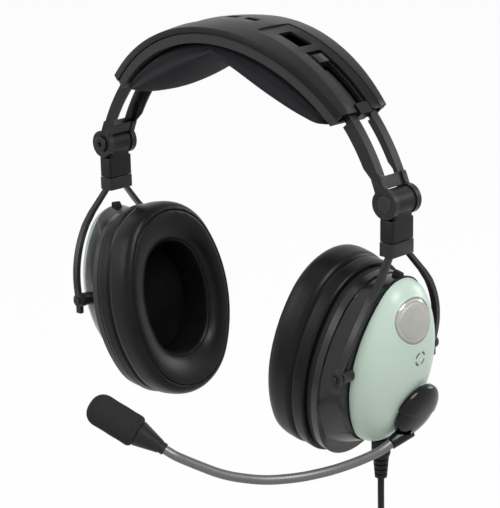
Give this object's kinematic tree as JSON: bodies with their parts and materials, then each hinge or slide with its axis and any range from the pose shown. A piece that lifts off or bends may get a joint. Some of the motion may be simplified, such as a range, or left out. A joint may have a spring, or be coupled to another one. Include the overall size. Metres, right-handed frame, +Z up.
{
  "type": "aviation headset",
  "caption": "Over-ear aviation headset with a padded headband, sliding arms, fold hinges, stirrup-hung ear cups, a microphone boom and a cord ending in a helicopter-type plug.",
  "frame": {"origin": "underside of the head pad at the crown, the spot that rests on the top of the head", "axes": "+X towards the wearer's left ear, +Y to the back of the head, +Z up"},
  "size_m": [0.2309, 0.1515, 0.4065],
  "materials": {
    "shell": "satin moulded black",
    "carrier": "mid grey moulded",
    "pad": "black woven cloth over foam",
    "clip": "satin",
    "arm": "satin black",
    "pin": "turned",
    "cap": "satin",
    "screw": "black oxide",
    "knuckle": "satin moulded black",
    "stirrup": "satin black",
    "seal": "smooth black leatherette",
    "foam": "open foam",
    "plate": "satin",
    "speaker": "satin",
    "housing": "half gloss black",
    "boot": "satin",
    "dome": "pale green, half gloss",
    "badge": "silver grey",
    "lens": "clear",
    "vent": "pale green",
    "hub": "gloss black",
    "boom": "dark grey, half gloss",
    "clamp": "satin",
    "muff": "open foam",
    "gland": "matt",
    "cord": "satin",
    "tie": "matt",
    "plug": "satin",
    "contact": "bright"
  },
  "bodies": {
    "band": {"band_shell": "shell", "pad_carrier": "carrier", "head_pad": "pad", "guide_clips": "clip"},
    "left_slider": {"slider_arm_left": "arm", "fold_pin_left": "pin", "fold_cap_left": "cap", "fold_screw_left": "screw"},
    "left_knuckle": {"knuckle_left": "knuckle", "swivel_pin_left": "pin"},
    "left_stirrup": {"stirrup_left": "stirrup"},
    "left_cup": {"pivot_screws_left": "screw", "ear_seal_left": "seal", "inner_foam_left": "foam", "seal_plate_left": "plate", "speaker_left": "speaker", "cup_housing_left": "housing", "crossover_boot_left": "boot", "dome_left": "dome", "badge": "badge", "badge_lens": "lens", "vent": "vent", "hub_seat": "dome", "cable_gland": "gland", "cord_main": "cord", "cord_coil": "cord", "coil_tie": "tie", "cord_tail": "cord", "plug_boot": "gland", "plug_body": "plug", "plug_pin": "contact"},
    "right_slider": {"slider_arm_right": "arm", "fold_pin_right": "pin", "fold_cap_right": "cap", "fold_screw_right": "screw"},
    "right_knuckle": {"knuckle_right": "knuckle", "swivel_pin_right": "pin"},
    "right_stirrup": {"stirrup_right": "stirrup"},
    "right_cup": {"pivot_screws_right": "screw", "ear_seal_right": "seal", "inner_foam_right": "foam", "seal_plate_right": "plate", "speaker_right": "speaker", "cup_housing_right": "housing", "crossover_boot_right": "boot", "dome_right": "dome"},
    "boom": {"boom_hub": "hub", "boom_ferrule": "hub", "boom_arm": "boom", "mic_clamp": "clamp", "mic_capsule": "speaker", "mic_muff": "muff"}
  },
  "joints": [
    {"name": "slider_left", "type": "hinge", "parent": "band", "child": "left_slider", "pos_m": [0, 0, -0.092], "axis": [0, 1, 0], "range_deg": [0, 14]},
    {"name": "slider_right", "type": "hinge", "parent": "band", "child": "right_slider", "pos_m": [0, 0, -0.092], "axis": [0, 1, 0], "range_deg": [-14, 0]},
    {"name": "fold_left", "type": "hinge", "parent": "left_slider", "child": "left_knuckle", "pos_m": [0.0996, 0, -0.0612], "axis": [0, 1, 0], "range_deg": [0, 75], "deforming": ["cord_main", "cord_coil", "coil_tie", "cord_tail"]},
    {"name": "fold_right", "type": "hinge", "parent": "right_slider", "child": "right_knuckle", "pos_m": [-0.0996, 0, -0.0612], "axis": [0, 1, 0], "range_deg": [-75, 0]},
    {"name": "swivel_left", "type": "hinge", "parent": "left_knuckle", "child": "left_stirrup", "pos_m": [0.0996, 0, -0.0752], "axis": [0, 0, 1], "range_deg": [-15, 15]},
    {"name": "swivel_right", "type": "hinge", "parent": "right_knuckle", "child": "right_stirrup", "pos_m": [-0.0996, 0, -0.0752], "axis": [0, 0, 1], "range_deg": [-15, 15]},
    {"name": "tilt_left", "type": "hinge", "parent": "left_stirrup", "child": "left_cup", "pos_m": [0.0927, 0, -0.1425], "axis": [0, 1, 0], "range_deg": [-16, 4]},
    {"name": "tilt_right", "type": "hinge", "parent": "right_stirrup", "child": "right_cup", "pos_m": [-0.0927, 0, -0.1425], "axis": [0, 1, 0], "range_deg": [-4, 16]},
    {"name": "boom_turn", "type": "hinge", "parent": "left_cup", "child": "boom", "pos_m": [0.10587, 0.006, -0.16575], "axis": [0.9272, 0, -0.3746], "range_deg": [-40, 32]}
  ]
}
